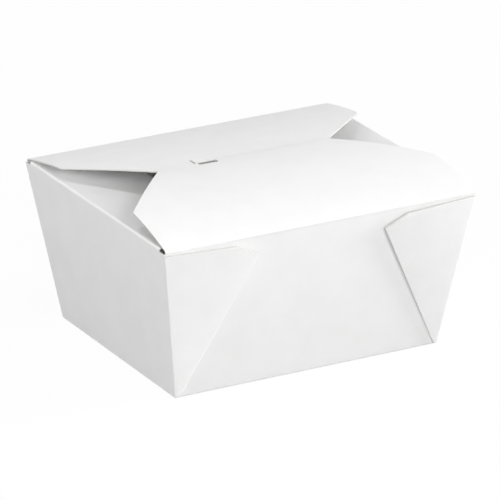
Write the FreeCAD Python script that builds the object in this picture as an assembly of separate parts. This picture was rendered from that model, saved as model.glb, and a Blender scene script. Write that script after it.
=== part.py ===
# Folded paperboard food box, shown closed.
# One creased and folded sheet makes the floor, four leaning walls, four corner webs that lie
# double on the outside of the long walls, two end flaps, a back flap and a front flap.
# The front flap laps over the back flap and its tongue drops through a slit there. It is the
# only flap that opens first, so it is a piece of its own that turns on the front rim crease.
# The origin is the middle of the floor's underside. X runs along the long walls, the front
# wall faces -Y, and Z is up. Sizes are in millimetres and angles in degrees.
import FreeCAD, Part
import math
import os

# Board
board = 0.46
fold_radius = 0.4
crease_gap = 0.3
rim_fold_depth = 1.376
wall_lead = 2.6

# Floor, rim and height, all over the outside of the walls
base_length = 113.0
base_width = 91.0
rim_length = 133.0
rim_width = 113.0
height = 64.0

# Corner webs
web_crease_length = 64.5
web_shoulder_half_length = 36.5
web_shoulder_drop = 3.0
web_corner_drop = 1.8
web_foot = 1.0
web_crease_inset = 0.9
web_spring = 1.3
web_corner_round = 1.9 * board
web_crease_round = 0.9 * board

# Outline that both major flaps share at the rim
flap_end_gap = 0.8
flap_side_taper = 0.8
flap_side_depth = 27.0
flap_corner_radius = 1.5

# Back flap
back_flap_edge_before_middle = 5.0
back_flap_rise = 12.4
back_flap_bow_radius = 265.0
back_flap_edge_half_length = 26.0

# Front flap
front_flap_edge_past_middle = 3.7
front_flap_bow_radius = 150.0
front_flap_edge_half_length = 36.5
lap_gap = 0.3

# Tongue of the front flap, and the slit that it drops through
tongue_reach = 0.2
tongue_bend_radius = 0.9
tongue_length = 39.5
tongue_notch_length = 7.5
tongue_notch_recess = 3.0
tongue_notch_radius = 1.2
tongue_depth = 7.0
tongue_tip_radius = 3.0
slit_gap = 0.35
slit_end_gap = 0.6
slit_end_flat = 0.06
slit_near_relief = 1.2
slit_tail_length = 4.6
slit_tail_width = 1.2
hook_drop = 2.6

# End flaps
end_flap_length = 38.0
end_flap_droop = 7.0
end_flap_rim_gap = 4.0
end_flap_side_taper = 14.0
end_flap_corner_radius = 5.0

# Worked out from the sizes above
end_lean = math.degrees(math.atan2((rim_length - base_length) / 2, height))
long_lean = math.degrees(math.atan2((rim_width - base_width) / 2, height))
fold_outside = fold_radius + board
fold_middle = fold_radius + board / 2
wall_top = height - rim_fold_depth
web_thickness = 2 * board
beyond = 10.0
above = height + 5 * beyond


def sine(angle):
    return math.sin(math.radians(angle))


def cosine(angle):
    return math.cos(math.radians(angle))


def tangent(angle):
    return math.tan(math.radians(angle))


class SheetPath:
    """The middle line of a bent sheet, in a plane whose first axis is across and second is up."""

    def __init__(self, start, heading):
        self.point = start
        self.heading = heading
        self.pieces = []

    def side_point(self, offset):
        """The point beside the present end, offset to the left of the heading."""
        across, up = self.point
        return (across - offset * sine(self.heading), up + offset * cosine(self.heading))

    def run(self, length):
        """Goes straight on."""
        across, up = self.point
        start = SheetPath(self.point, self.heading)
        self.point = (across + length * cosine(self.heading), up + length * sine(self.heading))
        self.pieces.append((start, None, SheetPath(self.point, self.heading)))
        return self

    def bend(self, radius, turn):
        """Turns by an angle, to the left if it is positive, on a middle radius."""
        side = math.copysign(radius, turn)
        centre = self.side_point(side)
        stops = [SheetPath(self.point, self.heading)]
        for share in (0.5, 1.0):
            heading = stops[0].heading + turn * share
            spot = (centre[0] + side * sine(heading), centre[1] - side * cosine(heading))
            stops.append(SheetPath(spot, heading))
        self.point = stops[2].point
        self.heading = stops[2].heading
        self.pieces.append(tuple(stops))
        return self

    def side_edges(self, offset, place):
        """The edges of one face of the sheet."""
        edges = []
        for stops in self.pieces:
            spots = [place(*stop.side_point(offset)) for stop in stops if stop]
            if len(spots) == 2:
                edges.append(Part.LineSegment(*spots).toShape())
            else:
                edges.append(Part.Arc(*spots).toShape())
        return edges

    def section(self, place, round_end=False):
        """The sheet's section as a face, with a square or a round last end."""
        first = self.pieces[0][0]
        edges = self.side_edges(board / 2, place) + self.side_edges(-board / 2, place)
        half = board / 2
        corners = [place(*end.side_point(side)) for end in (first, self) for side in (half, -half)]
        edges.append(Part.LineSegment(corners[0], corners[1]).toShape())
        if round_end:
            tip = SheetPath(self.point, self.heading).run(board / 2).point
            edges.append(Part.Arc(corners[2], place(*tip), corners[3]).toShape())
        else:
            edges.append(Part.LineSegment(corners[2], corners[3]).toShape())
        return Part.Face(Part.Wire(Part.__sortEdges__(edges)))


def along_y(across, up):
    """A section point in the YZ plane."""
    return FreeCAD.Vector(0, across, up)


def along_x(across, up):
    """A section point in the XZ plane."""
    return FreeCAD.Vector(across, 0, up)


def both_ways(face, axis, half):
    """A face drawn out by half each way along an axis."""
    face = face.copy()
    face.translate(axis * -half)
    return face.extrude(axis * (2 * half))


def mirrored(shape, axis):
    """A copy on the other side of the middle plane across an axis."""
    return shape.mirror(FreeCAD.Vector(0, 0, 0), axis)


AXIS_X = FreeCAD.Vector(1, 0, 0)
AXIS_Y = FreeCAD.Vector(0, 1, 0)
AXIS_Z = FreeCAD.Vector(0, 0, 1)


def polygon_face(points):
    """A flat face with straight sides."""
    return Part.Face(Part.makePolygon(points + points[:1]))


def frustum(grow_x, grow_y, bottom, top):
    """The leaning block between the walls, with its end and long faces moved out."""
    corners = []
    for level in (bottom, top):
        half_x = base_length / 2 + level * tangent(end_lean) + grow_x / cosine(end_lean)
        half_y = base_width / 2 + level * tangent(long_lean) + grow_y / cosine(long_lean)
        corners.append([FreeCAD.Vector(x, y, level) for x, y in
                        ((half_x, half_y), (-half_x, half_y), (-half_x, -half_y), (half_x, -half_y))])
    low, high = corners
    faces = [polygon_face(low[::-1]), polygon_face(high)]
    for here in range(4):
        after = (here + 1) % 4
        faces.append(polygon_face([low[here], low[after], high[after], high[here]]))
    return Part.makeSolid(Part.makeShell(faces))


def edges_where(shape, test):
    """The edges whose two ends both pass a test."""
    return [edge for edge in shape.Edges if all(test(corner.Point) for corner in edge.Vertexes)]


def is_upright(edge):
    """Whether an edge climbs from one level to another."""
    return abs(edge.Vertexes[0].Point.z - edge.Vertexes[1].Point.z) > board


def tray():
    """The floor and the four walls, with the floor's folds rounded inside and out."""
    outside = frustum(0, 0, 0, wall_top)
    floor_edges = edges_where(outside, lambda spot: abs(spot.z) < board / 2)
    outside = outside.makeFillet(fold_outside, floor_edges)
    inside = frustum(-board, -board, board, wall_top + beyond)
    inside = inside.makeFillet(fold_radius, edges_where(inside, lambda spot: spot.z < 2 * board))
    return outside.cut(inside)


def wall_place(across, slant, out):
    """A point on the back wall: across it, up its slope, and out from its outer face."""
    return FreeCAD.Vector(
        across,
        base_width / 2 + slant * sine(long_lean) + out * cosine(long_lean),
        slant * cosine(long_lean) - out * sine(long_lean),
    )


def wall_reading(point):
    """Where a point lies on the back wall: across it, up its slope, and out from its outer face."""
    over = point.y - base_width / 2
    slant = over * sine(long_lean) + point.z * cosine(long_lean)
    out = over * cosine(long_lean) - point.z * sine(long_lean)
    return point.x, slant, out


def line_distance(spot, start, end):
    """How far a spot on the wall lies from the line through two others."""
    run = (end[0] - start[0], end[1] - start[1])
    return abs(run[0] * (spot[1] - start[1]) - run[1] * (spot[0] - start[0])) / math.hypot(*run)


def corner_angle(overhang, slope_length):
    """The angle of a wall panel at the floor's corner, on the flat sheet."""
    return 90 + math.degrees(math.atan2(overhang, slope_length))


def prism(inner, outer):
    """A solid between two matching polygons."""
    faces = [polygon_face(inner[::-1]), polygon_face(outer)]
    for here in range(len(inner)):
        after = (here + 1) % len(inner)
        faces.append(polygon_face([inner[here], inner[after], outer[after], outer[here]]))
    solid = Part.makeSolid(Part.makeShell(faces))
    if solid.Volume < 0:
        solid.reverse()
    return solid


def web_outline():
    """The web's outline on the back wall at its right corner, and how far each corner springs off."""
    slope = height / cosine(long_lean)
    long_corner = corner_angle((rim_length - base_length) / 2, slope)
    end_corner = corner_angle((rim_width - base_width) / 2, height / cosine(end_lean))
    web_half_angle = (360 - 90 - long_corner - end_corner) / 2
    crease_angle = long_corner - web_half_angle
    crease_top = (base_length / 2 - web_crease_length * cosine(crease_angle),
                  web_crease_length * sine(crease_angle))
    shoulder = (web_shoulder_half_length, (height - web_shoulder_drop) / cosine(long_lean))
    corner_slant = (height - web_corner_drop) / cosine(long_lean)
    outline = [
        (base_length / 2 - web_crease_inset, 0),
        (base_length / 2 + beyond / 2, 0),
        (corner_across(corner_slant) + beyond / 2, corner_slant),
        shoulder,
        crease_top,
    ]
    inward = [corner_across(slant) - across for across, slant in outline]
    return outline, [web_spring * each / inward[-1] for each in inward]


def corner_across(slant):
    """How far across the long wall its corner edge is, at a place up its slope."""
    return base_length / 2 + slant * cosine(long_lean) * tangent(end_lean)


def corner_web():
    """The web at the back right corner: two layers on the long wall, sprung a little off it."""
    outline, spring = web_outline()
    under = [wall_place(*spot, off - board / 2) for spot, off in zip(outline, spring)]
    over = [wall_place(*spot, off + web_thickness) for spot, off in zip(outline, spring)]
    wrap = frustum(0, web_thickness + web_spring + beyond, web_foot, height)
    web = prism(under, over).common(wrap)
    web = web.makeFillet(web_corner_round, long_edges(web, on_corner))
    return web.makeFillet(web_crease_round, long_edges(web, on_crease))


def long_edges(web, test):
    """The web's edges that run up the wall and have both ends where a test says."""
    return [edge for edge in edges_where(web, lambda spot: test(wall_reading(spot)))
            if edge.Length > 2 * (web_thickness + web_spring)]


def on_corner(reading):
    """Whether a reading lies on the outer edge where the web turns on to the end wall."""
    across, slant, out = reading
    return out > board and corner_across(slant) - across < board


def on_crease(reading):
    """Whether a reading lies at the web's folded edge."""
    outline = web_outline()[0]
    return line_distance(reading[:2], outline[0], outline[-1]) < board / 10


def folded_strip(lean, rim_half, rise):
    """The path up a wall, over its rim fold and on to the start of its flap."""
    centre_up = height - fold_outside
    wall_outside = rim_half - fold_outside * tangent(lean)
    centre_across = wall_outside - fold_outside / cosine(lean)
    start_heading = 90 - lean
    start = (centre_across + fold_middle * cosine(lean), centre_up - fold_middle * sine(lean))
    lead = SheetPath(start, start_heading + 180).run(wall_lead).point
    return SheetPath(lead, start_heading).run(wall_lead).bend(fold_middle, 180 - rise - start_heading)


def back_flap_root():
    """The back wall's top and its rim fold, up to where the flap starts to bow."""
    return folded_strip(long_lean, rim_width / 2, back_flap_rise)


def back_flap_path():
    """The back wall's top, its rim fold and the bowed back flap."""
    path = back_flap_root()
    reach = path.point[0] + back_flap_edge_before_middle
    end_rise = math.degrees(math.asin(sine(back_flap_rise) - reach / back_flap_bow_radius))
    return path.bend(back_flap_bow_radius, back_flap_rise - end_rise)


def back_flap_crown():
    """The height of the bowed back flap's upper face at its highest."""
    return back_flap_root().side_point(back_flap_bow_radius)[1] + back_flap_bow_radius + board / 2


def hinge_point():
    """The front rim crease, in the middle of the board."""
    up = height - board / 2
    across = base_width / 2 + up * tangent(long_lean) - board / 2 / cosine(long_lean)
    return (-across, up)


def front_flap_chord():
    """The straight line from the crease to the free edge's place above the back flap, across and up."""
    across, up = hinge_point()
    landing = back_flap_crown() + lap_gap + board / 2
    return front_flap_edge_past_middle - across, landing - up


def front_flap_path(trim=0.0):
    """The front flap's bowed middle line, from just clear of the crease to a trim before its edge."""
    chord = front_flap_chord()
    half_turn = math.degrees(math.asin(math.hypot(*chord) / 2 / front_flap_bow_radius))
    rise = math.degrees(math.atan2(chord[1], chord[0])) + half_turn
    root = board / 2 + crease_gap
    root_turn = math.degrees(root / front_flap_bow_radius)
    trim_turn = math.degrees(trim / front_flap_bow_radius)
    path = SheetPath(hinge_point(), rise).bend(front_flap_bow_radius, -root_turn)
    path.pieces.clear()
    return path.bend(front_flap_bow_radius, root_turn + trim_turn - 2 * half_turn)


def tongue_path():
    """The tongue: on from the free edge, over a bend, and down on a circle about the crease."""
    lead = 2 * board
    before = front_flap_path(lead)
    path = SheetPath(before.point, before.heading)
    path.bend(front_flap_bow_radius, -math.degrees((lead + tongue_reach) / front_flap_bow_radius))
    hinge = hinge_point()
    centre = path.side_point(-tongue_bend_radius)
    bearing = math.degrees(math.atan2(centre[1] - hinge[1], centre[0] - hinge[0]))
    path.bend(tongue_bend_radius, bearing - 90 - path.heading)
    swing_radius = math.dist(centre, hinge) + tongue_bend_radius
    path.bend(swing_radius, -math.degrees(tongue_depth / swing_radius))
    return path, centre, swing_radius


def flap_plan(edge_half_length, rim_side, edge_across):
    """The plan outline of a major flap as a cutter, from beyond the rim to its free edge."""
    root = rim_length / 2 - flap_end_gap
    toward = 1 if edge_across > rim_side else -1
    side = (root - flap_side_taper, rim_side + toward * flap_side_depth)
    half = [(root, rim_side - toward * beyond), (root, rim_side), side, (edge_half_length, edge_across)]
    outline = half + [(-across, up) for across, up in reversed(half)]
    face = polygon_face([FreeCAD.Vector(across, up, 0) for across, up in outline])
    cutter = face.extrude(AXIS_Z * above)
    uprights = [edge for edge in cutter.Edges if is_upright(edge)
                and abs(edge.Vertexes[0].Point.y - rim_side) > flap_side_depth / 2]
    uprights = [edge for edge in uprights if abs(edge.Vertexes[0].Point.y) < abs(rim_side)]
    return cutter.makeFillet(flap_corner_radius, uprights)


def round_ended_slot(left, near, length, width):
    """An upright block with its narrow ends rounded, to cut a slot."""
    foot = FreeCAD.Vector(left, near, height - beyond / 2)
    block = Part.makeBox(length, width, 2 * beyond, foot)
    uprights = [edge for edge in block.Edges if is_upright(edge)]
    return block.makeFillet((min(length, width) - slit_end_flat) / 2, uprights)


def slit_cutter():
    """The slot in the back flap that the tongue drops through, and the tail at its left end."""
    centre, swing_radius = tongue_path()[1:]
    near = centre[0] - slit_near_relief
    far = hinge_point()[0] + swing_radius + board / 2 + slit_gap
    half_length = tongue_length / 2 + slit_end_gap
    slot = round_ended_slot(-half_length, near, 2 * half_length, far - near)
    middle = (near + far) / 2
    tail = round_ended_slot(-half_length, middle, slit_tail_width, far + slit_tail_length - middle)
    return slot.fuse(tail)


def back_flap():
    """The back flap with its rim fold and slit."""
    path = back_flap_path()
    sheet = both_ways(path.section(along_y), AXIS_X, rim_length)
    plan = flap_plan(back_flap_edge_half_length, rim_width / 2, path.point[0])
    return sheet.common(plan).cut(slit_cutter())


def end_flap():
    """The right end flap with its rim fold, tucked below the major flaps."""
    path = folded_strip(end_lean, rim_length / 2, -end_flap_droop)
    path.run(end_flap_length)
    root_half = rim_width / 2 - end_flap_rim_gap
    sheet = both_ways(path.section(along_x), AXIS_Y, rim_width)
    half = [(root_half, rim_length / 2 + beyond), (root_half, rim_length / 2),
            (root_half - end_flap_side_taper, path.point[0])]
    outline = half + [(-across, up) for across, up in reversed(half)]
    face = polygon_face([FreeCAD.Vector(up, across, 0) for across, up in outline])
    cutter = face.extrude(AXIS_Z * above)
    tips = [edge for edge in cutter.Edges if is_upright(edge)
            and edge.Vertexes[0].Point.x < rim_length / 2 - end_flap_length / 2]
    return sheet.common(cutter.makeFillet(end_flap_corner_radius, tips))


def front_rim():
    """The front wall's top edge, rounded where the front flap turns about it."""
    hinge = hinge_point()
    heading = 90 - long_lean
    start = SheetPath((-hinge[0], hinge[1]), heading + 180).run(wall_lead).point
    path = SheetPath(start, heading).run(wall_lead)
    sheet = both_ways(path.section(along_y, round_end=True), AXIS_X, rim_length / 2 - flap_end_gap)
    return mirrored(sheet, AXIS_Y)


def tongue():
    """The tongue, notched at its left end so that a hook catches under the slit's end."""
    path = tongue_path()[0]
    half = tongue_length / 2
    sheet = both_ways(path.section(along_y), AXIS_X, half)
    top = path.point[1] + tongue_depth + beyond
    hook_top = back_flap_crown() - hook_drop
    tip = path.point[1] - board
    notch = tongue_notch_length - half
    outline = [(half, top), (notch, top), (notch, hook_top)]
    outline += [(-half, hook_top), (-half, tip), (half, tip)]
    cutter = both_ways(polygon_face([along_x(*spot) for spot in outline]), AXIS_Y, rim_width)
    tips = [edge for edge in edges_where(cutter, lambda spot: abs(spot.z - tip) < board / 2)
            if abs(edge.tangentAt(edge.FirstParameter).y) > 0.99]
    return sheet.common(cutter.makeFillet(tongue_tip_radius, tips))


def folded_box():
    """Everything that stays: floor, walls, webs, end flaps and back flap."""
    box = tray()
    web = corner_web()
    webs = [web, mirrored(web, AXIS_X)]
    webs += [mirrored(each, AXIS_Y) for each in webs]
    flap = end_flap()
    joined = box.fuse(webs + [back_flap(), front_rim(), flap, mirrored(flap, AXIS_X)])
    return joined.removeSplitter()


def notch_cutter(edge_across):
    """The bite out of the front flap's free edge beside the tongue, above the hook."""
    left = -tongue_length / 2 - slit_end_gap
    foot = FreeCAD.Vector(left, edge_across - tongue_notch_recess, back_flap_crown() - board)
    width = tongue_notch_length - tongue_length / 2 - left
    block = Part.makeBox(width, tongue_notch_recess + beyond, beyond, foot)
    uprights = [edge for edge in block.Edges if is_upright(edge)]
    return block.makeFillet(tongue_notch_radius, uprights)


def front_flap():
    """The front flap, with its tongue."""
    path = front_flap_path()
    sheet = both_ways(path.section(along_y), AXIS_X, rim_length)
    plan = flap_plan(front_flap_edge_half_length, -rim_width / 2, path.point[0])
    flap = sheet.common(plan).cut(notch_cutter(path.point[0]))
    return flap.fuse(tongue()).removeSplitter()


os.makedirs("parts", exist_ok=True)
for name, make in (("folded_box", folded_box), ("front_flap", front_flap)):
    shape = make()
    box = shape.BoundBox
    print(name, "solids", len(shape.Solids), "valid", shape.isValid(), "volume", round(shape.Volume, 1))
    print("  x", round(box.XMin, 2), round(box.XMax, 2), "y", round(box.YMin, 2), round(box.YMax, 2),
          "z", round(box.ZMin, 2), round(box.ZMax, 2))
    shape.exportStep("parts/" + name + ".step")
hinge = hinge_point()
print("front flap turns about y", round(hinge[0], 4), "z", round(hinge[1], 4))
print("back flap crown", round(back_flap_crown(), 2))
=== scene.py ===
"""Studio scene of a white folded paperboard food box, closed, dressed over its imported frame.

Lengths are in metres and angles in radians, unless a name or note says otherwise.
"""
import logging
import math
from dataclasses import dataclass, field
from enum import Enum
from typing import Callable, Sequence

import bmesh
import bpy
from mathutils import Matrix, Vector


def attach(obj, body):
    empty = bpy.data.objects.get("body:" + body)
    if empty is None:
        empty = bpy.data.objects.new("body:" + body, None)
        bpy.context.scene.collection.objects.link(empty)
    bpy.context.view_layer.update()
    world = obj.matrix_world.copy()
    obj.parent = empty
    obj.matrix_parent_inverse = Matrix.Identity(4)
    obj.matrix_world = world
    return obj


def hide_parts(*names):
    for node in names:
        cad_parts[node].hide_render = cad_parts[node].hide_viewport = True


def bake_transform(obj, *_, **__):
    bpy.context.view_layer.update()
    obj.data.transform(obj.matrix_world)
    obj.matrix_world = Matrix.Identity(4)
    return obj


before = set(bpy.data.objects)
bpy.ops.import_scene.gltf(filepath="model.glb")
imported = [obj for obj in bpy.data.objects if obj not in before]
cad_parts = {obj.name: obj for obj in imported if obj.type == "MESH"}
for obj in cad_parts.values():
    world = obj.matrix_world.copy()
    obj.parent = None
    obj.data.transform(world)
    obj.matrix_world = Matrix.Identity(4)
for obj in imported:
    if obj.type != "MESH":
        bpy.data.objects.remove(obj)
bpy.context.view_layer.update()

MM = 0.001
SAME_PLACE = 0.0005 * MM
NEAR = 0.01 * MM
SIDES = (1.0, -1.0)
NOISE_LOW = 0.3
NOISE_HIGH = 0.7
ROUND_PROFILE = 0.5
SMOOTH_ANGLE = math.radians(32)
DOUBLES = 0.004 * MM
QUARTER = math.radians(90)
LOG = logging.getLogger("food_box")
AXIS_X = Vector((1, 0, 0))
AXIS_Y = Vector((0, 1, 0))
AXIS_Z = Vector((0, 0, 1))
WHITE = (1, 1, 1, 1)

Test = Callable[[Vector], bool]
Piece = bpy.types.Object
Socket = bpy.types.NodeSocket


class SlotName(Enum):
    """The record's material slot for the board, which no piece here takes its finish from."""

    BOARD = "board"


class BodyName(Enum):
    """The bodies that pieces ride on."""

    BOX = "box"
    LID = "lid"


class SelectMode(Enum):
    """What a selection picks in edit mode."""

    VERT = "VERT"
    EDGE = "EDGE"
    FACE = "FACE"


# Sizes of the folded box


@dataclass(frozen=True)
class BoxSizes:
    """Sizes of the folded box, the same as those of its solids."""

    board: float = 0.46 * MM
    fold_radius: float = 0.4 * MM
    base_length: float = 113.0 * MM
    base_width: float = 91.0 * MM
    rim_length: float = 133.0 * MM
    rim_width: float = 113.0 * MM
    height: float = 64.0 * MM
    rim_fold_depth: float = 1.376 * MM
    flap_end_gap: float = 0.8 * MM
    flap_side_taper: float = 0.8 * MM
    flap_side_depth: float = 27.0 * MM

    @property
    def end_lean(self) -> float:
        """The lean of the end walls from upright."""
        return math.atan2((self.rim_length - self.base_length) / 2, self.height)

    @property
    def long_lean(self) -> float:
        """The lean of the long walls from upright."""
        return math.atan2((self.rim_width - self.base_width) / 2, self.height)

    @property
    def fold_outside(self) -> float:
        """The outer radius of a fold."""
        return self.fold_radius + self.board

    @property
    def wall_top(self) -> float:
        """The height at which the walls' cut tops end beside the flaps."""
        return self.height - self.rim_fold_depth

    @property
    def flap_root(self) -> float:
        """Half the length of a major flap at the rim."""
        return self.rim_length / 2 - self.flap_end_gap

    def fold_level(self, lean: float) -> float:
        """The height at which a wall's top starts to fold into its flap, by the wall's lean."""
        return self.height - self.fold_outside * (1 + math.sin(lean))

    def half_length(self, level: float) -> float:
        """Half the length over the end walls' outer faces at a level."""
        return self.base_length / 2 + level * math.tan(self.end_lean)

    def half_width(self, level: float) -> float:
        """Half the width over the long walls' outer faces at a level."""
        return self.base_width / 2 + level * math.tan(self.long_lean)


# Selecting and shaping in edit mode


def deselect_everything() -> None:
    """Leaves edit mode and clears the selection."""
    if bpy.context.mode != "OBJECT":
        bpy.ops.object.mode_set(mode="OBJECT")
    bpy.ops.object.select_all(action="DESELECT")


def make_active(piece: Piece) -> None:
    """Makes one piece the only one selected, and active.

    Args:
        piece: The piece to work on.
    """
    deselect_everything()
    piece.select_set(True)
    bpy.context.view_layer.objects.active = piece


def settle() -> None:
    """Puts the active piece's place, turn and scale into its mesh."""
    bpy.ops.object.transform_apply(location=True, rotation=True, scale=True)


def add_block(name: str, size: tuple[float, float, float], middle: tuple[float, float, float]) -> Piece:
    """Adds a block.

    Args:
        name: Its name.
        size: Its size along X, Y and Z.
        middle: Its middle.

    Returns:
        The block.
    """
    deselect_everything()
    bpy.ops.mesh.primitive_cube_add(size=1.0, location=middle)
    block = bpy.context.object
    block.name = name
    block.scale = size
    settle()
    return block


def start_edit(piece: Piece, mode: SelectMode = SelectMode.EDGE) -> None:
    """Opens a piece in edit mode with nothing selected.

    Args:
        piece: The piece to open.
        mode: What is selected next.
    """
    make_active(piece)
    bpy.ops.object.mode_set(mode="EDIT")
    choose_mode(mode)
    bpy.ops.mesh.select_all(action="DESELECT")


def choose_mode(mode: SelectMode) -> None:
    """Sets whether corners, edges or faces are selected."""
    bpy.ops.mesh.select_mode(type=mode.value)


def end_edit() -> None:
    """Closes edit mode."""
    bpy.ops.object.mode_set(mode="OBJECT")


def pick(mode: SelectMode, test: Test) -> None:
    """Selects the corners, edges or faces that pass a test, and nothing else.

    Args:
        mode: What is selected.
        test: Says of a place whether it counts: a corner, both ends of an edge, or a face's middle.
    """
    choose_mode(mode)
    bpy.ops.mesh.select_all(action="DESELECT")
    mesh = bmesh.from_edit_mesh(bpy.context.edit_object.data)
    if mode is SelectMode.VERT:
        chosen = [corner for corner in mesh.verts if test(corner.co)]
    elif mode is SelectMode.EDGE:
        chosen = [edge for edge in mesh.edges if all(test(corner.co) for corner in edge.verts)]
    else:
        chosen = [face for face in mesh.faces if test(face.calc_center_median())]
    for element in chosen:
        element.select_set(True)
    bmesh.update_edit_mesh(bpy.context.edit_object.data)


def pick_edges(test: Test) -> None:
    """Selects the edges whose two ends pass a test."""
    pick(SelectMode.EDGE, test)


def pick_faces(test: Test) -> None:
    """Selects the faces whose middles pass a test."""
    pick(SelectMode.FACE, test)


def anywhere(place: Vector) -> bool:
    """Passes every place."""
    return True


def split(place: Vector, normal: Vector) -> None:
    """Splits what is selected along a plane, given by a point on it and its normal."""
    bpy.ops.mesh.bisect(plane_co=place, plane_no=normal, threshold=SAME_PLACE)


def cut_away(test: Test, place: Vector, normal: Vector) -> None:
    """Cuts the faces that pass a test along a plane, and drops what lies on the normal's side.

    Args:
        test: Says of a face's middle whether the cut reaches it.
        place: A point on the plane.
        normal: The side that goes.
    """
    pick_faces(test)
    split(place, normal)
    pick_faces(lambda spot: test(spot) and (spot - place).dot(normal) > 0)
    bpy.ops.mesh.delete(type="FACE")


def pick_middle(test: Test, axis: Vector, half: float) -> None:
    """Splits the edges that pass a test on both sides of their middle, and selects what lies between.

    Args:
        test: Says of a place whether it is on the edges.
        axis: The direction that the edges run in.
        half: Half the length to select.
    """
    for side in SIDES:
        pick_edges(test)
        split(axis * half * side, axis)
    pick_edges(lambda place: test(place) and abs(place.dot(axis)) < half + NEAR)


def round_corners(test: Test, radius: float, steps: int) -> None:
    """Rounds the sheet's free corners that pass a test.

    Args:
        test: Says of a corner whether it counts.
        radius: How far from the corner the rounding starts.
        steps: How many edges it takes.
    """
    pick(SelectMode.VERT, test)
    bpy.ops.mesh.bevel(offset=radius, segments=steps, affect="VERTICES", profile=ROUND_PROFILE)


@dataclass
class EdgeRun:
    """Draws the selected edge on, through straights and bends about one axis.

    Attributes:
        axis: The direction that every bend turns about.
        point: A point on the leading edge, in the plane across the axis.
        ahead: The direction in which the sheet grows.
    """

    axis: Vector
    point: Vector
    ahead: Vector

    def straight(self, length: float) -> None:
        """Goes straight on.

        Args:
            length: How far.
        """
        step = self.ahead * length
        bpy.ops.mesh.extrude_edges_move(TRANSFORM_OT_translate={"value": step})
        self.point = self.point + step

    def bend(self, radius: float, turn: float, steps: int) -> None:
        """Bends on round a centre beside the leading edge.

        Args:
            radius: The radius of the sheet's modelled face.
            turn: The angle, right-handed about the axis.
            steps: How many strips the bend takes.
        """
        aside = self.axis.cross(self.ahead) * math.copysign(1.0, turn)
        centre = self.point + aside * radius
        bpy.ops.mesh.spin(steps=steps, angle=-turn, center=centre, axis=self.axis)
        turned = Matrix.Rotation(turn, 3, self.axis)
        self.point = centre + turned @ (self.point - centre)
        self.ahead = turned @ self.ahead


# Finishes


class Nodes:
    """Adds shader nodes to one material or world and links them."""

    def __init__(self, owner: bpy.types.Material | bpy.types.World, output: str = "Material") -> None:
        """Clears the owner's nodes and starts with an output.

        Args:
            owner: The material or world.
            output: The kind of output that it takes, Material or World.
        """
        owner.use_nodes = True
        self.tree = owner.node_tree
        self.tree.nodes.clear()
        self.output = self.tree.nodes.new(f"ShaderNodeOutput{output}")

    def add(self, kind: str, **settings: object) -> bpy.types.Node:
        """Adds one node.

        Args:
            kind: The node's type.
            settings: Properties of the node.

        Returns:
            The node.
        """
        node = self.tree.nodes.new(kind)
        for name, value in settings.items():
            setattr(node, name, value)
        return node

    def link(self, source: Socket, target: Socket) -> None:
        """Links an output to an input."""
        self.tree.links.new(source, target)

    def surface(self, source: Socket) -> None:
        """Links a shader to the output."""
        self.link(source, self.output.inputs["Surface"])

    def mix(self, share: Socket, first: Socket, second: Socket) -> Socket:
        """Mixes two shaders.

        Args:
            share: The share of the second.
            first: The first.
            second: The second.

        Returns:
            The mixed shader.
        """
        mix = self.add("ShaderNodeMixShader")
        for source, target in zip((share, first, second), mix.inputs):
            self.link(source, target)
        return mix.outputs[0]

    def seen_share(self) -> Socket:
        """Tells the rays that show a thing to the eye from those that only carry light.

        Returns:
            1 for the camera's, a reflection's or a transmission's ray, 0 for others.
        """
        path = self.add("ShaderNodeLightPath")
        seen = path.outputs["Is Camera Ray"]
        for kind in ("Is Glossy Ray", "Is Transmission Ray"):
            either = self.add("ShaderNodeMath", operation="MAXIMUM")
            self.link(seen, either.inputs[0])
            self.link(path.outputs[kind], either.inputs[1])
            seen = either.outputs[0]
        return seen

    def noise(self, scale: float, detail: float, stretch: Sequence[float] = (1, 1, 1)) -> Socket:
        """A noise over the piece's own place.

        Args:
            scale: Lumps to the metre.
            detail: How many finer layers it has.
            stretch: How much the lumps are squeezed along each axis.

        Returns:
            The noise's value.
        """
        place = self.add("ShaderNodeTexCoord")
        mapping = self.add("ShaderNodeMapping")
        mapping.inputs["Scale"].default_value = stretch
        noise = self.add("ShaderNodeTexNoise")
        noise.inputs["Scale"].default_value = scale
        noise.inputs["Detail"].default_value = detail
        self.link(place.outputs["Object"], mapping.inputs["Vector"])
        self.link(mapping.outputs["Vector"], noise.inputs["Vector"])
        return noise.outputs["Fac"]

    def spread(self, value: Socket, low: float, high: float) -> Socket:
        """Maps the middle of a noise to a range.

        Args:
            value: The noise.
            low: What its low end becomes.
            high: What its high end becomes.

        Returns:
            The mapped value.
        """
        spread = self.add("ShaderNodeMapRange")
        spread.inputs["From Min"].default_value = NOISE_LOW
        spread.inputs["From Max"].default_value = NOISE_HIGH
        spread.inputs["To Min"].default_value = low
        spread.inputs["To Max"].default_value = high
        self.link(value, spread.inputs["Value"])
        return spread.outputs["Result"]

    def tint(self, value: Socket, dark: Sequence[float], pale: Sequence[float]) -> Socket:
        """Mixes two colours by a value.

        Args:
            value: The share of the second colour.
            dark: The first colour.
            pale: The second colour.

        Returns:
            The mixed colour.
        """
        mix = self.add("ShaderNodeMix", data_type="RGBA")
        mix.inputs["A"].default_value = (*dark, 1.0)
        mix.inputs["B"].default_value = (*pale, 1.0)
        self.link(value, mix.inputs["Factor"])
        return mix.outputs["Result"]

    def bump(self, height: Socket, depth: float, under: Socket | None = None) -> Socket:
        """Bumps the surface by a height.

        Args:
            height: The pattern.
            depth: How deep the pattern is.
            under: A normal to add to.

        Returns:
            The bumped normal.
        """
        bump = self.add("ShaderNodeBump")
        bump.inputs["Distance"].default_value = depth
        self.link(height, bump.inputs["Height"])
        if under is not None:
            self.link(under, bump.inputs["Normal"])
        return bump.outputs["Normal"]


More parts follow.
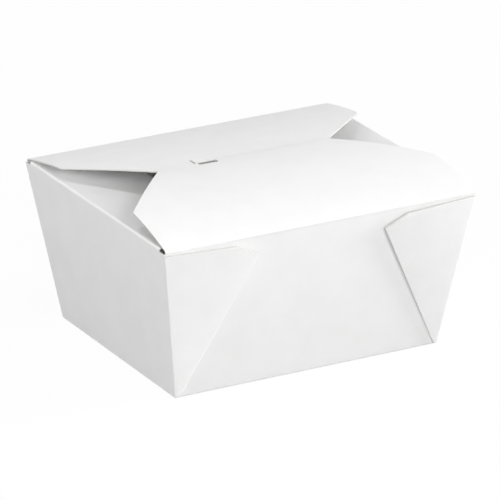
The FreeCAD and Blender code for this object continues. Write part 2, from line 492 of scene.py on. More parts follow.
@dataclass(frozen=True)
class CoatedBoard:
    """The board's white face: pressed fibre under a thin coat.

    Attributes:
        dark: The colour in the thinner patches of the coat.
        pale: The colour elsewhere.
        roughness: The lowest and highest roughness.
        fibre_depth: How deep the fibres show.
        wave_depth: How far the board is from flat.
        coat: How much of the thin coat shows.
        glow: How much of the light goes through the fibres.
        glow_depth: How far it spreads in them.
        coat_roughness: The coat's roughness.
        bending: The coat's index of refraction.
        shine: How strongly the fibres mirror light.
        fibre_noise: Lumps to the metre and finer layers of the fibres.
        cloud_noise: The same of the coat's patches.
        wave_noise: The same of the board's waves.
        fibre_squeeze: How much the fibres are squeezed along each axis.
    """

    dark: tuple[float, float, float] = (0.885, 0.885, 0.882)
    pale: tuple[float, float, float] = (0.91, 0.91, 0.908)
    roughness: tuple[float, float] = (0.5, 0.62)
    fibre_depth: float = 0.012 * MM
    wave_depth: float = 0.22 * MM
    coat: float = 0.1
    glow: float = 0.6
    glow_depth: float = 0.35 * MM
    coat_roughness: float = 0.34
    bending: float = 1.47
    shine: float = 0.42
    fibre_noise: tuple[float, float] = (2600, 6)
    cloud_noise: tuple[float, float] = (90, 3)
    wave_noise: tuple[float, float] = (22, 1.5)
    fibre_squeeze: tuple[float, float, float] = (1, 0.45, 1)

    def build(self) -> bpy.types.Material:
        """Makes the material.

        Returns:
            The material.
        """
        material = bpy.data.materials.new("coated_white_board")
        nodes = Nodes(material)
        shader = nodes.add("ShaderNodeBsdfPrincipled")
        fibres = nodes.noise(*self.fibre_noise, self.fibre_squeeze)
        clouds = nodes.noise(*self.cloud_noise)
        waves = nodes.noise(*self.wave_noise)
        tone = nodes.tint(nodes.spread(clouds, 0, 1), self.dark, self.pale)
        nodes.link(tone, shader.inputs["Base Color"])
        nodes.link(nodes.spread(fibres, *self.roughness), shader.inputs["Roughness"])
        rolling = nodes.bump(waves, self.wave_depth)
        nodes.link(nodes.bump(fibres, self.fibre_depth, rolling), shader.inputs["Normal"])
        shader.inputs["IOR"].default_value = self.bending
        shader.inputs["Specular IOR Level"].default_value = self.shine
        shader.inputs["Coat Weight"].default_value = self.coat
        shader.inputs["Coat Roughness"].default_value = self.coat_roughness
        shader.inputs["Subsurface Weight"].default_value = self.glow
        shader.inputs["Subsurface Radius"].default_value = (1, 1, 1)
        shader.inputs["Subsurface Scale"].default_value = self.glow_depth
        nodes.surface(shader.outputs["BSDF"])
        return material


@dataclass(frozen=True)
class CutEdge:
    """The board's bare cut edge: matt fibre, a little off white.

    Attributes:
        dark: The colour between the fibres.
        pale: The colour of the fibres.
        roughness: The lowest and highest roughness.
        layer_noise: Lumps to the metre and finer layers of the pressed layers.
        layer_depth: How deep the layers show.
    """

    dark: tuple[float, float, float] = (0.58, 0.57, 0.545)
    pale: tuple[float, float, float] = (0.72, 0.71, 0.69)
    roughness: tuple[float, float] = (0.82, 0.96)
    layer_noise: tuple[float, float] = (5200, 4)
    layer_depth: float = 0.03 * MM

    def build(self) -> bpy.types.Material:
        """Makes the material.

        Returns:
            The material.
        """
        material = bpy.data.materials.new("bare_cut_edge")
        nodes = Nodes(material)
        shader = nodes.add("ShaderNodeBsdfPrincipled")
        layers = nodes.noise(*self.layer_noise)
        tone = nodes.tint(nodes.spread(layers, 0, 1), self.dark, self.pale)
        nodes.link(tone, shader.inputs["Base Color"])
        nodes.link(nodes.spread(layers, *self.roughness), shader.inputs["Roughness"])
        nodes.link(nodes.bump(layers, self.layer_depth), shader.inputs["Normal"])
        nodes.surface(shader.outputs["BSDF"])
        return material


@dataclass(frozen=True)
class Finishes:
    """The two finishes of the board, made once and shared by its pieces."""

    face: bpy.types.Material
    edge: bpy.types.Material

    def dress(self, piece: Piece) -> None:
        """Gives a piece its face in the first slot and its cut edge in the second.

        Args:
            piece: The piece to dress.
        """
        piece.data.materials.clear()
        piece.data.materials.append(self.face)
        piece.data.materials.append(self.edge)


# Making a sheet into board


def thicken(piece: Piece, thickness: float) -> None:
    """Gives a sheet its thickness behind its modelled face, with the cut edge on its rims.

    Args:
        piece: The sheet.
        thickness: The board's thickness.
    """
    make_active(piece)
    solid = piece.modifiers.new("board", "SOLIDIFY")
    solid.thickness = thickness
    solid.offset = -1
    solid.use_even_offset = True
    solid.use_quality_normals = True
    solid.material_offset_rim = 1
    bpy.ops.object.modifier_apply(modifier=solid.name)


def cut_with(piece: Piece, cutter: Piece) -> None:
    """Cuts a piece with a cutter, which leaves the cut edge, and drops the cutter.

    Args:
        piece: The piece to cut.
        cutter: The shape that is taken out.
    """
    make_active(piece)
    cut = piece.modifiers.new("cut", "BOOLEAN")
    cut.operation = "DIFFERENCE"
    cut.solver = "EXACT"
    cut.object = cutter
    bpy.ops.object.modifier_apply(modifier=cut.name)
    bpy.data.objects.remove(cutter, do_unlink=True)


def finish_sheet(piece: Piece) -> None:
    """Merges a piece's doubles, makes its normals face out and smooths its bends.

    Args:
        piece: The finished board.
    """
    start_edit(piece, SelectMode.VERT)
    bpy.ops.mesh.select_all(action="SELECT")
    bpy.ops.mesh.remove_doubles(threshold=DOUBLES)
    bpy.ops.mesh.normals_make_consistent(inside=False)
    end_edit()
    bpy.ops.object.shade_smooth_by_angle(angle=SMOOTH_ANGLE)
    LOG.info("%s: %d faces", piece.name, len(piece.data.polygons))


# Directions, and the major flaps' outline


def pointing(line: Vector, side: Vector) -> Vector:
    """The unit direction of a line, turned so that it points to a side."""
    return line.normalized() if line.dot(side) > 0 else -line.normalized()


def plan_normal(start: Vector, end: Vector) -> Vector:
    """The level direction square to a line in plan, on the side toward the box's right end.

    Args:
        start: Where the line starts.
        end: Where it ends.

    Returns:
        The direction.
    """
    run = end - start
    return pointing(Vector((-run.y, run.x, 0)), AXIS_X)


def trim_flap(sizes: BoxSizes, on_flap: Test, rim_side: float, tip: Vector) -> None:
    """Cuts a major flap's tapered sides and slanted corners.

    Args:
        sizes: The box's sizes.
        on_flap: Says of a place whether it is on the flap.
        rim_side: 1 for the back rim, -1 for the front.
        tip: The right end of its free edge, in plan.
    """
    root = Vector((sizes.flap_root, sizes.rim_width / 2 * rim_side, 0))
    side = root - Vector((sizes.flap_side_taper, sizes.flap_side_depth * rim_side, 0))
    for mirror in SIDES:
        flip = Vector((mirror, 1, 1))
        cut_away(on_flap, root * flip, plan_normal(root, side) * flip)
        cut_away(on_flap, side * flip, plan_normal(side, tip) * flip)


# The floor, walls, end flaps and back flap


@dataclass
class FoldedSheet:
    """The floor, the four walls, the two end flaps and the back flap, folded from one board."""

    sizes: BoxSizes
    finishes: Finishes
    back_rise: float = math.radians(12.4)
    back_bow_radius: float = 265.0 * MM
    back_edge_before_middle: float = 5.0 * MM
    back_edge_half_length: float = 26.0 * MM
    flap_corner_radius: float = 1.5 * MM
    end_length: float = 38.0 * MM
    end_droop: float = math.radians(7.0)
    end_rim_gap: float = 4.0 * MM
    end_side_taper: float = 14.0 * MM
    end_corner_radius: float = 5.0 * MM
    slit_half_length: float = 20.35 * MM
    slit_near: float = 3.8 * MM
    slit_far: float = 5.6 * MM
    slit_tail_length: float = 4.6 * MM
    slit_tail_width: float = 0.75 * MM
    split_inset: float = 0.05 * MM
    floor_fold_share: float = 0.9
    floor_fold_steps: int = 5
    fold_steps: int = 8
    end_fold_steps: int = 9
    bow_steps: int = 26
    tip_steps: int = 4
    end_corner_steps: int = 6
    slot_end_steps: int = 6
    slot_end_share: float = 0.49
    slot_depth: float = 12 * MM
    piece: Piece = field(init=False)

    def build(self) -> None:
        """Makes the sheet."""
        self.make_tray()
        self.draw_back_flap()
        for side in SIDES:
            self.draw_end_flap(side)
        end_edit()
        self.finishes.dress(self.piece)
        thicken(self.piece, self.sizes.board)
        self.cut_slit()
        finish_sheet(self.piece)
        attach(self.piece, BodyName.BOX.value)
        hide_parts("folded_box")

    def make_tray(self) -> None:
        """Shapes the floor and walls from a block: leaning, open on top, with rounded floor folds."""
        sizes = self.sizes
        top = sizes.wall_top
        block = (sizes.base_length, sizes.base_width, top)
        self.piece = add_block("folded_sheet", block, (0, 0, top / 2))
        start_edit(self.piece, SelectMode.FACE)
        pick_faces(lambda place: place.z > top - NEAR)
        growth = (sizes.half_length(top) / sizes.half_length(0),
                  sizes.half_width(top) / sizes.half_width(0), 1)
        bpy.ops.transform.resize(value=growth, center_override=(0, 0, top))
        bpy.ops.mesh.delete(type="ONLY_FACE")
        pick_edges(lambda place: place.z < NEAR)
        bpy.ops.mesh.bevel(offset=sizes.fold_outside * self.floor_fold_share,
                           segments=self.floor_fold_steps, affect="EDGES", profile=ROUND_PROFILE)

    def draw_back_flap(self) -> None:
        """Draws the back wall's top edge over its fold and on as the bowed flap, then trims it."""
        sizes = self.sizes
        top = sizes.wall_top
        pick_middle(lambda place: place.z > top - NEAR and place.y > sizes.half_width(top) - NEAR,
                    AXIS_X, sizes.flap_root - self.split_inset)
        start = Vector((0, sizes.half_width(top), top))
        ahead = Vector((0, math.sin(sizes.long_lean), math.cos(sizes.long_lean)))
        run = EdgeRun(AXIS_X, start, ahead)
        run.straight((sizes.fold_level(sizes.long_lean) - top) / math.cos(sizes.long_lean))
        run.bend(sizes.fold_outside, QUARTER + sizes.long_lean - self.back_rise, self.fold_steps)
        outer = self.back_bow_radius + sizes.board / 2
        reach = run.point.y - sizes.board / 2 * math.sin(self.back_rise) + self.back_edge_before_middle
        turn = self.back_rise - math.asin(math.sin(self.back_rise) - reach / self.back_bow_radius)
        run.bend(outer, turn, self.bow_steps)
        free_y = run.point.y
        trim_flap(sizes, lambda place: place.z > top + NEAR, 1.0,
                  Vector((self.back_edge_half_length, free_y, 0)))
        round_corners(lambda place: abs(place.y - free_y) < NEAR
                      and abs(abs(place.x) - self.back_edge_half_length) < NEAR,
                      self.flap_corner_radius, self.tip_steps)

    def draw_end_flap(self, side: float) -> None:
        """Draws the middle of an end wall's top edge over its fold and in as the end flap.

        Args:
            side: 1 for the right end, -1 for the left.
        """
        sizes = self.sizes
        top = sizes.wall_top
        wall_x = sizes.half_length(top)
        root = sizes.rim_width / 2 - self.end_rim_gap
        pick_middle(lambda place: abs(place.z - top) < NEAR and place.x * side > wall_x - NEAR,
                    AXIS_Y, root)
        ahead = Vector((math.sin(sizes.end_lean) * side, 0, math.cos(sizes.end_lean)))
        run = EdgeRun(AXIS_Y * -side, Vector((wall_x * side, 0, top)), ahead)
        run.straight((sizes.fold_level(sizes.end_lean) - top) / math.cos(sizes.end_lean))
        run.bend(sizes.fold_outside, QUARTER + sizes.end_lean + self.end_droop, self.end_fold_steps)
        run.straight(self.end_length)
        free_half = root - self.end_side_taper
        bpy.ops.transform.resize(value=(1, free_half / root, 1), center_override=run.point)
        free_x = run.point.x
        round_corners(lambda place: abs(place.x - free_x) < NEAR,
                      self.end_corner_radius, self.end_corner_steps)

    def slot_cutter(self, left: float, near: float, length: float, width: float) -> Piece:
        """Makes a block with round narrow ends that cuts a slot.

        Args:
            left: Where its left side lies.
            near: Where its near side lies.
            length: Its size along X.
            width: Its size along Y.

        Returns:
            The cutter.
        """
        middle = (left + length / 2, near + width / 2, self.sizes.height + self.slot_depth / 2)
        cutter = add_block("slot_cutter", (length, width, self.slot_depth), middle)
        start_edit(cutter)
        mesh = bmesh.from_edit_mesh(cutter.data)
        for edge in mesh.edges:
            edge.select_set(abs(edge.verts[0].co.z - edge.verts[1].co.z) > NEAR)
        bmesh.update_edit_mesh(cutter.data)
        bpy.ops.mesh.bevel(offset=min(length, width) * self.slot_end_share,
                           segments=self.slot_end_steps, affect="EDGES", profile=ROUND_PROFILE)
        end_edit()
        self.finishes.dress(cutter)
        for face in cutter.data.polygons:
            face.material_index = 1
        return cutter

    def cut_slit(self) -> None:
        """Cuts the slit and the tail that turns back from its left end."""
        half = self.slit_half_length
        middle = (self.slit_near + self.slit_far) / 2
        tail_length = self.slit_far + self.slit_tail_length - middle
        width = self.slit_far - self.slit_near
        cut_with(self.piece, self.slot_cutter(-half, self.slit_near, 2 * half, width))
        cut_with(self.piece, self.slot_cutter(-half, middle, self.slit_tail_width, tail_length))


# The front flap


@dataclass
class FrontFlap:
    """The front flap in one run of board: the wall's top, the crease, the bowed flap and its tongue."""

    sizes: BoxSizes
    finishes: Finishes
    crown: float = 70.17 * MM
    lap_gap: float = 0.3 * MM
    edge_past_middle: float = 3.7 * MM
    bow_radius: float = 150.0 * MM
    edge_half_length: float = 36.5 * MM
    crease_lead: float = 0.6 * MM
    tongue_reach: float = 0.2 * MM
    tongue_bend_radius: float = 0.9 * MM
    tongue_half_length: float = 19.75 * MM
    tongue_notch_length: float = 7.5 * MM
    tongue_notch_recess: float = 3.0 * MM
    tongue_notch_radius: float = 1.2 * MM
    slit_end_gap: float = 0.6 * MM
    tongue_depth: float = 7.0 * MM
    tongue_tip_radius: float = 3.0 * MM
    hook_drop: float = 2.6 * MM
    crease_steps: int = 8
    bow_steps: int = 26
    tongue_bend_steps: int = 10
    tongue_steps: int = 4
    notch_steps: int = 4
    tip_steps: int = 5
    piece: Piece = field(init=False)

    @property
    def hinge(self) -> Vector:
        """The crease's place.

        Returns:
            Its middle, in the middle of the board.
        """
        sizes = self.sizes
        up = sizes.height - sizes.board / 2
        across = sizes.half_width(up) - sizes.board / 2 / math.cos(sizes.long_lean)
        return Vector((0, -across, up))

    def build(self) -> None:
        """Makes the flap."""
        run = self.start_on_wall()
        self.draw_flap(run)
        self.draw_tongue(run)
        end_edit()
        self.finishes.dress(self.piece)
        thicken(self.piece, self.sizes.board)
        finish_sheet(self.piece)
        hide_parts("front_flap")
        lead = Vector((0, self.crease_lead, self.crease_lead))
        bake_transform(self.piece, BodyName.BOX.value, BodyName.LID.value, self.hinge - lead, self.hinge + lead)

    def start_on_wall(self) -> EdgeRun:
        """Lays a narrow strip on the front wall's top, up to where the crease starts.

        Returns:
            The run that goes on from the strip.
        """
        sizes = self.sizes
        top = sizes.wall_top
        up_wall = Vector((0, -math.sin(sizes.long_lean), math.cos(sizes.long_lean)))
        face_out = Vector((0, -math.cos(sizes.long_lean), -math.sin(sizes.long_lean)))
        crease_start = self.hinge - up_wall * self.crease_lead + face_out * sizes.board / 2
        foot = Vector((0, -sizes.half_width(top), top))
        middle = (foot + crease_start) / 2
        deselect_everything()
        bpy.ops.mesh.primitive_plane_add(
            size=1.0, location=middle, rotation=(QUARTER + sizes.long_lean, 0, 0))
        self.piece = bpy.context.object
        self.piece.name = "front_flap_board"
        self.piece.scale = (2 * sizes.flap_root, (crease_start - foot).length, 1)
        settle()
        start_edit(self.piece)
        pick_edges(lambda place: place.z > middle.z)
        return EdgeRun(AXIS_X, crease_start, up_wall)

    def draw_flap(self, run: EdgeRun) -> None:
        """Draws the crease and the bowed flap, and trims the flap's outline.

        Args:
            run: The run up the wall.
        """
        sizes = self.sizes
        hinge = self.hinge
        landing = self.crown + self.lap_gap + sizes.board / 2
        chord = Vector((0, self.edge_past_middle, landing)) - hinge
        half_turn = math.asin(chord.length / 2 / self.bow_radius)
        rise = math.atan2(chord.z, chord.y) + half_turn
        lead_turn = self.crease_lead / self.bow_radius
        crease_turn = rise - lead_turn - (QUARTER + sizes.long_lean)
        middle_radius = self.crease_lead / math.tan(abs(crease_turn) / 2)
        run.bend(middle_radius + sizes.board / 2, crease_turn, self.crease_steps)
        run.bend(self.bow_radius + sizes.board / 2, lead_turn - 2 * half_turn, self.bow_steps)
        trim_flap(sizes, lambda place: place.z > 0, -1.0, Vector((self.edge_half_length, run.point.y, 0)))

    def draw_tongue(self, run: EdgeRun) -> None:
        """Draws the tongue on from the middle of the free edge, over its bend and down its slit.

        Args:
            run: The run that ended at the free edge.
        """
        sizes = self.sizes
        edge_y = run.point.y
        half = self.tongue_half_length
        notch = self.tongue_notch_length - half
        self.bite_free_edge(edge_y, -half - self.slit_end_gap, notch)
        for across in (notch, half):
            pick_edges(lambda place: place.y > edge_y - NEAR)
            split(AXIS_X * across, AXIS_X)
        pick_edges(lambda place: place.y > edge_y - NEAR
                   and notch - NEAR < place.x < half + NEAR)
        run.bend(self.bow_radius + sizes.board / 2, -self.tongue_reach / self.bow_radius, 1)
        inward = -AXIS_X.cross(run.ahead)
        centre = run.point + inward * (self.tongue_bend_radius + sizes.board / 2)
        bearing = centre - self.hinge
        down_heading = math.atan2(bearing.z, bearing.y) - QUARTER
        heading = math.atan2(run.ahead.z, run.ahead.y)
        run.bend(self.tongue_bend_radius + sizes.board / 2, down_heading - heading,
                 self.tongue_bend_steps)
        swing = bearing.length + self.tongue_bend_radius
        run.bend(swing + sizes.board / 2, -self.tongue_depth / swing, self.tongue_steps)
        self.draw_hook(edge_y, notch)
        tip_z = run.point.z
        round_corners(lambda place: abs(place.z - tip_z) < NEAR and place.y > edge_y
                      and abs(abs(place.x) - half) < NEAR,
                      self.tongue_tip_radius, self.tip_steps)

    def bite_free_edge(self, edge_y: float, left: float, right: float) -> None:
        """Takes the round-cornered notch out of the free edge beside the tongue.

        Args:
            edge_y: Where the free edge lies.
            left: The notch's left side.
            right: The notch's right side.
        """
        near = edge_y - self.tongue_notch_recess

        def by_edge(place: Vector) -> bool:
            """Whether a place is close to the free edge."""
            return place.y > near - 2 * self.tongue_notch_recess

        for spot, normal in ((left, AXIS_X), (right, AXIS_X), (near, AXIS_Y)):
            pick_faces(by_edge)
            split(normal * spot, normal)
        pick_faces(lambda place: left < place.x < right and place.y > near)
        bpy.ops.mesh.delete(type="FACE")
        round_corners(lambda place: abs(place.y - near) < NEAR
                      and min(abs(place.x - left), abs(place.x - right)) < NEAR,
                      self.tongue_notch_radius, self.notch_steps)

    def draw_hook(self, edge_y: float, notch: float) -> None:
        """Draws the hook out of the tongue's left side, below the notch.

        Args:
            edge_y: Where the flap's free edge lies.
            notch: Where the tongue's left side lies.
        """
        hook_top = self.crown - self.hook_drop

        def on_tongue(place: Vector) -> bool:
            """Whether a place is past the free edge."""
            return place.y > edge_y + NEAR

        pick_faces(on_tongue)
        split(AXIS_Z * hook_top, AXIS_Z)
        pick_edges(lambda place: on_tongue(place) and place.z < hook_top + NEAR
                   and abs(place.x - notch) < NEAR)
        step = Vector((-self.tongue_notch_length, 0, 0))
        bpy.ops.mesh.extrude_edges_move(TRANSFORM_OT_translate={"value": step})


# The corner webs


@dataclass
class CornerWebs:
    """The four corner webs, each folded double on the outside of a long wall."""

    sizes: BoxSizes
    finishes: Finishes
    crease_length: float = 64.5 * MM
    shoulder_half_length: float = 36.5 * MM
    shoulder_drop: float = 3.0 * MM
    corner_drop: float = 1.8 * MM
    foot: float = 1.0 * MM
    crease_inset: float = 0.9 * MM
    spring: float = 1.3 * MM
    inner_short: float = 1.4 * MM
    corner_round_boards: float = 1.9
    layer_share: float = 0.96
    blank_width: float = 200 * MM
    inner_reach: float = 60 * MM
    kept_inset: float = 10 * MM
    corner_steps: int = 7
    crease_steps: int = 8

    @property
    def up_wall(self) -> Vector:
        """The direction up the back wall."""
        return Vector((0, math.sin(self.sizes.long_lean), math.cos(self.sizes.long_lean)))

    @property
    def off_wall(self) -> Vector:
        """The direction square out of the back wall."""
        return Vector((0, math.cos(self.sizes.long_lean), -math.sin(self.sizes.long_lean)))

    def wall_place(self, across: float, slant: float, out: float) -> Vector:
        """A point by the back wall.

        Args:
            across: How far along the wall.
            slant: How far up its slope.
            out: How far out of its outer face.

        Returns:
            The point.
        """
        foot = Vector((across, self.sizes.base_width / 2, 0))
        return foot + self.up_wall * slant + self.off_wall * out

    def corner_across(self, slant: float) -> float:
        """How far across the long wall its corner edge is, at a place up its slope."""
        return self.sizes.half_length(slant * math.cos(self.sizes.long_lean))

    def crease_top(self) -> tuple[float, float]:
        """The crease's upper end, across the wall and up its slope.

        Returns:
            The two distances.
        """
        sizes = self.sizes
        overhang_x = (sizes.rim_length - sizes.base_length) / 2
        overhang_y = (sizes.rim_width - sizes.base_width) / 2
        long_corner = QUARTER + math.atan2(overhang_x, sizes.height / math.cos(sizes.long_lean))
        end_corner = QUARTER + math.atan2(overhang_y, sizes.height / math.cos(sizes.end_lean))
        half_angle = (3 * QUARTER - long_corner - end_corner) / 2
        angle = long_corner - half_angle
        inward = self.crease_length * math.cos(angle)
        return sizes.base_length / 2 - inward, self.crease_length * math.sin(angle)

    def build(self) -> None:
        """Makes one web and copies it to the other corners."""
        first = self.make_web()
        pieces = [first]
        for name, flip in (("web_back_left", (-1, 1)), ("web_front_right", (1, -1)),
                           ("web_front_left", (-1, -1))):
            pieces.append(self.mirrored_copy(first, name, flip))
        for piece in pieces:
            finish_sheet(piece)
            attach(piece, BodyName.BOX.value)

    def mirrored_copy(self, first: Piece, name: str, flip: tuple[int, int]) -> Piece:
        """Copies a web to another corner.

        Args:
            first: The web to copy.
            name: The copy's name.
            flip: -1 for each of the X and Y axes that turns round.

        Returns:
            The copy.
        """
        make_active(first)
        bpy.ops.object.duplicate()
        copy = bpy.context.object
        copy.name = name
        copy.scale = (flip[0], flip[1], 1)
        settle()
        return copy

    def make_web(self) -> Piece:
        """Cuts the outer layer, folds the inner layer under it and turns the corner.

        Returns:
            The web at the back right corner.
        """
        sizes = self.sizes
        thickness = 2 * sizes.board
        crease = self.crease_top()
        up_corner = self.corner_direction()
        layer = self.layer_normal(self.spring / (self.corner_across(crease[1]) - crease[0]))
        corner_foot = self.wall_place(self.corner_across(0), 0, thickness)
        web = self.lay_blank(corner_foot, layer)
        foot_spot = self.wall_place(sizes.base_length / 2 - self.crease_inset, 0, 0)
        top_spot = self.wall_place(*crease, 0)
        shoulder_slant = (sizes.height - self.shoulder_drop) / math.cos(sizes.long_lean)
        shoulder = self.wall_place(self.shoulder_half_length, shoulder_slant, 0)
        corner_slant = (sizes.height - self.corner_drop) / math.cos(sizes.long_lean)
        self.cut_outline(foot_spot, top_spot)
        self.fold_under(foot_spot, top_spot, layer, thickness)
        self.cut_outline(top_spot, shoulder)
        self.cut_outline(shoulder, self.wall_place(self.corner_across(corner_slant), corner_slant, 0))
        cut_away(anywhere, AXIS_Z * self.foot, -AXIS_Z)
        self.end_inner_layer(corner_foot, layer, up_corner)
        self.turn_corner(layer, up_corner, thickness)
        end_edit()
        self.finishes.dress(web)
        thicken(web, sizes.board * self.layer_share)
        return web

    def lay_blank(self, place: Vector, facing: Vector) -> Piece:
        """Lays a wide blank for a web and opens it in edit mode.

        Args:
            place: A point on it.
            facing: Its outward direction.

        Returns:
            The blank.
        """
        deselect_everything()
        bpy.ops.mesh.primitive_plane_add(size=self.blank_width, location=place)
        blank = bpy.context.object
        blank.name = "web_back_right"
        blank.rotation_mode = "QUATERNION"
        blank.rotation_quaternion = facing.to_track_quat("Z", "Y")
        settle()
        start_edit(blank)
        return blank

    def corner_direction(self) -> Vector:
        """The direction up the box's leaning corner edge.

        Returns:
            The unit direction at the back right corner.
        """
        low = self.wall_place(self.corner_across(0), 0, 0)
        high = self.wall_place(self.corner_across(self.sizes.height), self.sizes.height, 0)
        return (high - low).normalized()

    def layer_normal(self, tilt: float) -> Vector:
        """The outward direction of the sprung outer layer.

        Args:
            tilt: How far it springs off, for each metre from the corner.

        Returns:
            The direction.
        """
        edge = self.corner_direction()
        inward = (-AXIS_X - edge * (-AXIS_X).dot(edge)).normalized()
        inward = (inward - self.off_wall * inward.dot(self.off_wall)).normalized()
        grown = (inward + self.off_wall * tilt).normalized()
        return pointing(edge.cross(grown), self.off_wall)

    def cut_outline(self, start: Vector, end: Vector) -> None:
        """Cuts the blank square to the wall along a line, and drops the side away from the corner.

        Args:
            start: A point of the line on the wall.
            end: Another.
        """
        middle = self.sizes.height / 2
        inside = self.wall_place(self.corner_across(middle) - self.kept_inset, middle, 0)
        across = pointing((end - start).cross(self.off_wall), start - inside)
        cut_away(anywhere, start, across)

    def end_inner_layer(self, corner: Vector, layer: Vector, edge: Vector) -> None:
        """Ends the inner layer just before the corner that it turns back from.

        Args:
            corner: The corner's foot on the outer layer.
            layer: The outward direction of the outer layer.
            edge: The direction up the corner edge.
        """
        toward = pointing(edge.cross(layer), AXIS_X)
        cut_away(lambda place: (place - corner).dot(layer) < -self.sizes.board,
                 corner - toward * self.inner_short, toward)

    def turn_corner(self, layer: Vector, edge: Vector, thickness: float) -> None:
        """Bends the outer layer round the corner until it lies in line with the end wall.

        Args:
            layer: The outward direction of the outer layer.
            edge: The direction up the corner edge.
            thickness: The thickness of the two layers.
        """
        sizes = self.sizes
        radius = self.corner_round_boards * sizes.board
        end_out = Vector((math.cos(sizes.end_lean), 0, -math.sin(sizes.end_lean)))
        corner = self.wall_place(self.corner_across(0), 0, 0)
        along_end = pointing(edge.cross(end_out), AXIS_Y)
        on_layer = self.wall_place(self.corner_across(0), 0, thickness)
        reach = (on_layer - corner).dot(layer) / along_end.dot(layer)
        meeting = corner + along_end * reach
        centre = meeting - (layer + end_out) * (radius / (1 + layer.dot(end_out)))
        toward = pointing(edge.cross(layer), AXIS_X)
        tangent_point = centre + layer * radius
        cut_away(anywhere, tangent_point, toward)
        turn = layer.angle(end_out)
        axis = toward.cross(-layer).normalized()
        pick_edges(lambda place: abs((place - tangent_point).dot(toward)) < NEAR)
        run = EdgeRun(axis, tangent_point, toward)
        run.bend(radius, turn, self.corner_steps)
        run.straight(max((run.point - corner).dot(along_end), NEAR))

    def fold_under(self, foot: Vector, top: Vector, layer: Vector, thickness: float) -> None:
        """Folds the inner layer back under the outer one at the crease.

        Args:
            foot: The crease's foot on the wall.
            top: The crease's top on the wall.
            layer: The outward direction of the outer layer.
            thickness: The thickness of the two layers.
        """
        crease = (top - foot).normalized()
        crease = (crease - layer * crease.dot(layer)).normalized()
        away = pointing(crease.cross(layer), -AXIS_X)
        square = (top - foot).cross(self.off_wall).normalized()
        pick_edges(lambda place: abs((place - foot).dot(square)) < 2 * NEAR)
        mesh = bmesh.from_edit_mesh(bpy.context.edit_object.data)
        lead = next(corner.co.copy() for corner in mesh.verts if corner.select)
        axis = away.cross(-layer).normalized()
        run = EdgeRun(axis, lead, away)
        run.bend(thickness / 2, math.pi, self.crease_steps)
        run.straight(self.inner_reach)


# The studio


@dataclass(frozen=True)
class SoftLamp:
    """One square soft lamp that looks at the box.

    Attributes:
        name: Its name.
        azimuth: Its bearing in degrees, 0 in front and 90 to the right.
        elevation: Its height above the floor's level in degrees.
        power: Its power in watts.
        distance: How far it stands off.
        size: Its width in metres.
        aim_height: The height that it looks at.
    """

    name: str
    azimuth: float
    elevation: float
    power: float
    distance: float = 1.6
    size: float = 0.45
    aim_height: float = 35 * MM

    def build(self) -> None:
        """Adds the lamp."""
        data = bpy.data.lights.new(self.name, "AREA")
        data.shape = "SQUARE"
        data.size = self.size
        data.energy = self.power
        lamp = bpy.data.objects.new(self.name, data)
        bpy.context.scene.collection.objects.link(lamp)
        away = bearing_vector(self.azimuth, self.elevation)
        lamp.location = away * self.distance + AXIS_Z * self.aim_height
        lamp.rotation_euler = away.to_track_quat("Z", "Y").to_euler()


def bearing_vector(azimuth: float, elevation: float) -> Vector:
    """The direction from the box to a bearing and height.

    Args:
        azimuth: Degrees, 0 in front and 90 to the right.
        elevation: Degrees above level.

    Returns:
        The unit direction.
    """
    turn, climb = math.radians(azimuth), math.radians(elevation)
    return Vector((math.sin(turn) * math.cos(climb), -math.cos(turn) * math.cos(climb), math.sin(climb)))


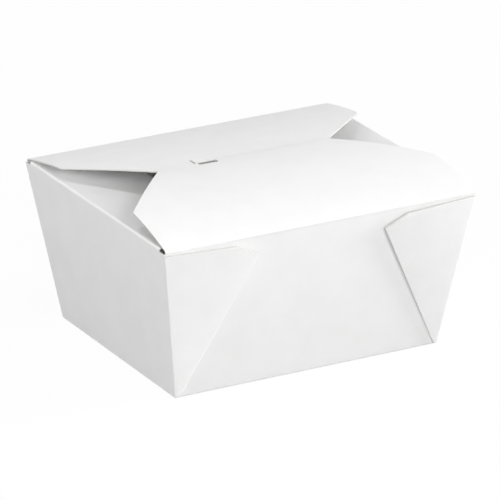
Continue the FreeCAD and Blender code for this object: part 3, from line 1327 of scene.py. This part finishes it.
@dataclass
class Studio:
    """The camera, the soft lamps, the white surroundings and the white floor."""

    camera_azimuth: float = -28.848
    camera_elevation: float = 21.233
    camera_distance: float = 2.0
    camera_focus_px: float = 5248.0
    picture_px: float = 500.0
    aim: Vector = field(default_factory=lambda: Vector((0, 0, 31.75 * MM)))
    shift: tuple[float, float] = (0.0024, 0.0072)
    surround: float = 0.33
    floor_white: float = 0.93
    floor_bounce: float = 0.42
    floor_width: float = 12.0
    floor_drop: float = 0.02 * MM
    view_reach: float = 20.0
    lamps: tuple[SoftLamp, ...] = (
        SoftLamp("left_lamp", -85.0, 22.0, 8.2),
        SoftLamp("front_lamp", 0.0, 22.0, 5.5),
        SoftLamp("low_front_left_lamp", -30.0, 15.0, 4.0),
        SoftLamp("low_front_right_lamp", 20.0, 15.0, 3.8),
        SoftLamp("high_front_lamp", -20.0, 30.0, 1.5),
        SoftLamp("high_right_lamp", 60.0, 45.0, 3.5),
        SoftLamp("low_right_lamp", 80.0, 8.0, 17.0),
        SoftLamp("high_back_lamp", -160.0, 65.0, 3.3),
    )

    def build(self) -> None:
        """Sets the stage round the box."""
        self.place_camera()
        for lamp in self.lamps:
            lamp.build()
        self.light_surround()
        self.lay_floor()
        bpy.context.scene.view_settings.view_transform = "Standard"

    def place_camera(self) -> None:
        """Puts the camera at the picture's viewing angle."""
        data = bpy.data.cameras.new("camera")
        data.sensor_fit = "HORIZONTAL"
        data.lens = self.camera_focus_px * data.sensor_width / self.picture_px
        data.shift_x, data.shift_y = self.shift
        data.clip_end = self.view_reach
        camera = bpy.data.objects.new("camera", data)
        bpy.context.scene.collection.objects.link(camera)
        away = bearing_vector(self.camera_azimuth, self.camera_elevation)
        camera.location = self.aim + away * self.camera_distance
        camera.rotation_euler = away.to_track_quat("Z", "Y").to_euler()
        bpy.context.scene.camera = camera

    def light_surround(self) -> None:
        """Makes the surroundings white to the eye, and plain soft light on the box."""
        world = bpy.data.worlds.new("surround")
        bpy.context.scene.world = world
        nodes = Nodes(world, "World")
        soft = nodes.add("ShaderNodeBackground")
        soft.inputs["Strength"].default_value = self.surround
        white = nodes.add("ShaderNodeBackground")
        for back in (soft, white):
            back.inputs["Color"].default_value = WHITE
        nodes.surface(nodes.mix(nodes.seen_share(), soft.outputs[0], white.outputs[0]))

    def lay_floor(self) -> None:
        """Lays the white floor, which still takes the box's shadow."""
        deselect_everything()
        bpy.ops.mesh.primitive_plane_add(size=self.floor_width, location=(0, 0, -self.floor_drop))
        floor = bpy.context.object
        floor.name = "studio_floor"
        material = bpy.data.materials.new("floor_white")
        nodes = Nodes(material)
        cloth = nodes.add("ShaderNodeBsdfDiffuse")
        cloth.inputs["Color"].default_value = (*[self.floor_bounce] * 3, 1)
        pale = nodes.add("ShaderNodeBsdfDiffuse")
        pale.inputs["Color"].default_value = WHITE
        white = nodes.add("ShaderNodeEmission")
        seen = nodes.add("ShaderNodeMixShader")
        seen.inputs[0].default_value = self.floor_white
        nodes.link(pale.outputs[0], seen.inputs[1])
        nodes.link(white.outputs[0], seen.inputs[2])
        nodes.surface(nodes.mix(nodes.seen_share(), cloth.outputs[0], seen.outputs[0]))
        floor.data.materials.append(material)


def main() -> None:
    """Builds the studio and the box, piece by piece."""
    logging.basicConfig(level=logging.INFO, format="%(name)s: %(message)s")
    Studio().build()
    sizes = BoxSizes()
    finishes = Finishes(CoatedBoard().build(), CutEdge().build())
    FoldedSheet(sizes, finishes).build()
    CornerWebs(sizes, finishes).build()
    FrontFlap(sizes, finishes).build()
    deselect_everything()


if __name__ == "__main__":
    main()
